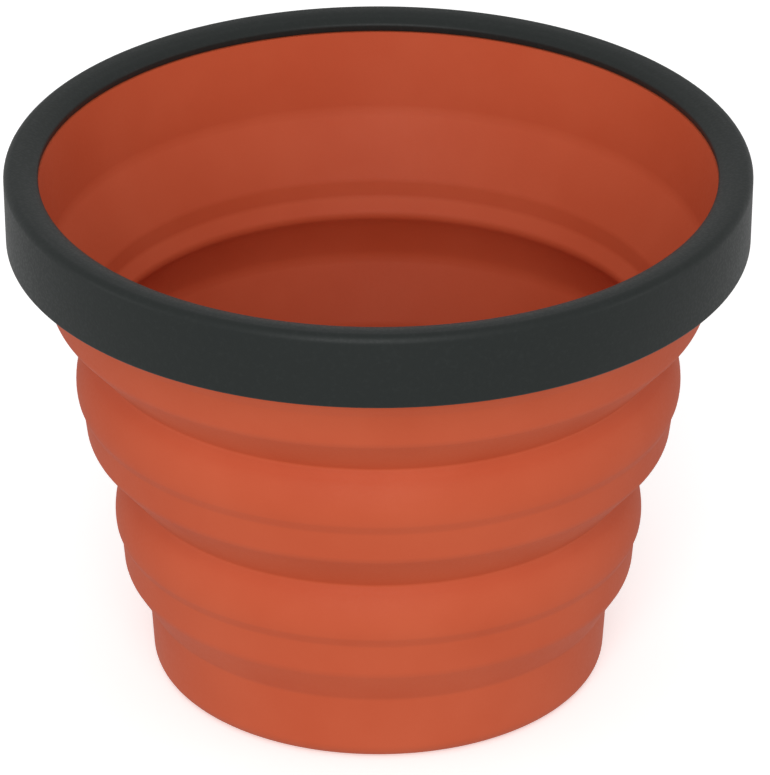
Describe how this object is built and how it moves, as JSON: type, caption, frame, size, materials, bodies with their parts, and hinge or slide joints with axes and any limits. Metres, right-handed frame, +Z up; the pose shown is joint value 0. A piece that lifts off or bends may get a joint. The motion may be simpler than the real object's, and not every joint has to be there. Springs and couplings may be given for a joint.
{
  "type": "collapsible travel cup",
  "caption": "Collapsible travel cup: a stiff rim ring grips a soft tiered silicone body that folds flat, tier inside tier.",
  "frame": {"origin": "centre of the underside, on the surface that the open cup stands on", "axes": "+Z up along the axis of the cup; it is round, so X and Y are alike"},
  "size_m": [0.0932, 0.0932, 0.0691],
  "materials": {
    "rim_nylon": "satin moulded charcoal nylon",
    "cup_silicone": "matte moulded terracotta silicone rubber"
  },
  "bodies": {
    "base": {"base_cup": "cup_silicone"},
    "lower": {"lower_tier": "cup_silicone", "lower_fold_roll": "cup_silicone"},
    "middle": {"middle_tier": "cup_silicone", "middle_fold_roll": "cup_silicone"},
    "upper": {"rim_ring": "rim_nylon", "upper_tier": "cup_silicone", "upper_fold_roll": "cup_silicone"}
  },
  "joints": [
    {"name": "lower_fold", "type": "slide", "parent": "base", "child": "lower", "axis": [0, 0, -1], "range_m": [0, 0.0175], "deforming": ["lower_fold_roll"]},
    {"name": "middle_fold", "type": "slide", "parent": "lower", "child": "middle", "axis": [0, 0, -1], "range_m": [0, 0.0186], "deforming": ["middle_fold_roll"]},
    {"name": "upper_fold", "type": "slide", "parent": "middle", "child": "upper", "axis": [0, 0, -1], "range_m": [0, 0.018], "deforming": ["upper_fold_roll"]}
  ]
}
